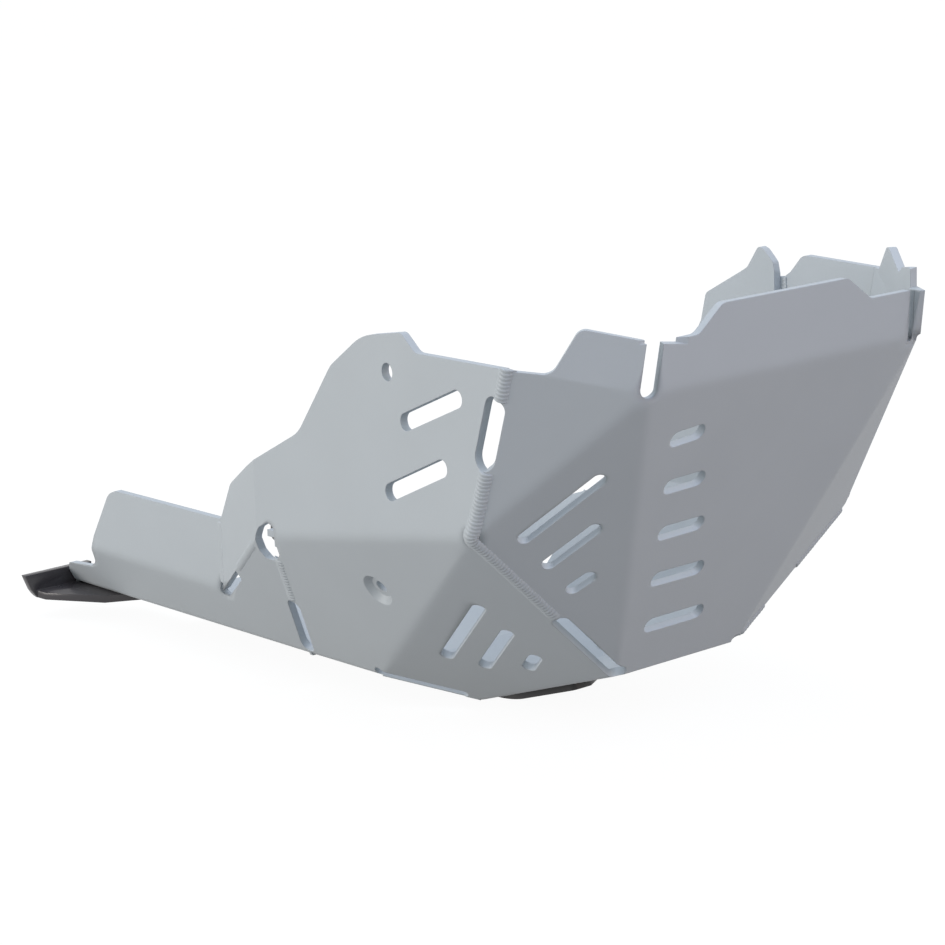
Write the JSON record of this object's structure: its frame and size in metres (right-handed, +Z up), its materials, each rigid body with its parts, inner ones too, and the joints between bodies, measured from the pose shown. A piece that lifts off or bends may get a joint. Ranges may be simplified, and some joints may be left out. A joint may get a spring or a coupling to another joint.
{
  "type": "engine guard",
  "caption": "Motorbike engine guard: folded and welded aluminium plates with long vent slots, silver powder coat, and black steel brackets.",
  "frame": {"origin": "underside of the flat belly, on the middle line", "axes": "+X points to the front wheel, +Y to the rider's left, +Z up"},
  "size_m": [0.4865, 0.2587, 0.2245],
  "materials": {
    "powder_coat": "satin",
    "weld": "satin",
    "black_steel": "satin"
  },
  "bodies": {
    "root": {"rear_plate": "powder_coat", "mid_plate": "powder_coat", "nose_plate": "powder_coat", "weld_right_cheek": "weld", "weld_right_chin": "weld", "weld_right_side": "weld", "weld_left_cheek": "weld", "weld_left_chin": "weld", "weld_left_side": "weld", "weld_wing": "weld", "weld_chine": "weld", "weld_belly": "weld", "weld_toe": "weld", "weld_flap": "weld", "rear_bracket": "black_steel", "front_bracket": "black_steel"}
  },
  "joints": []
}
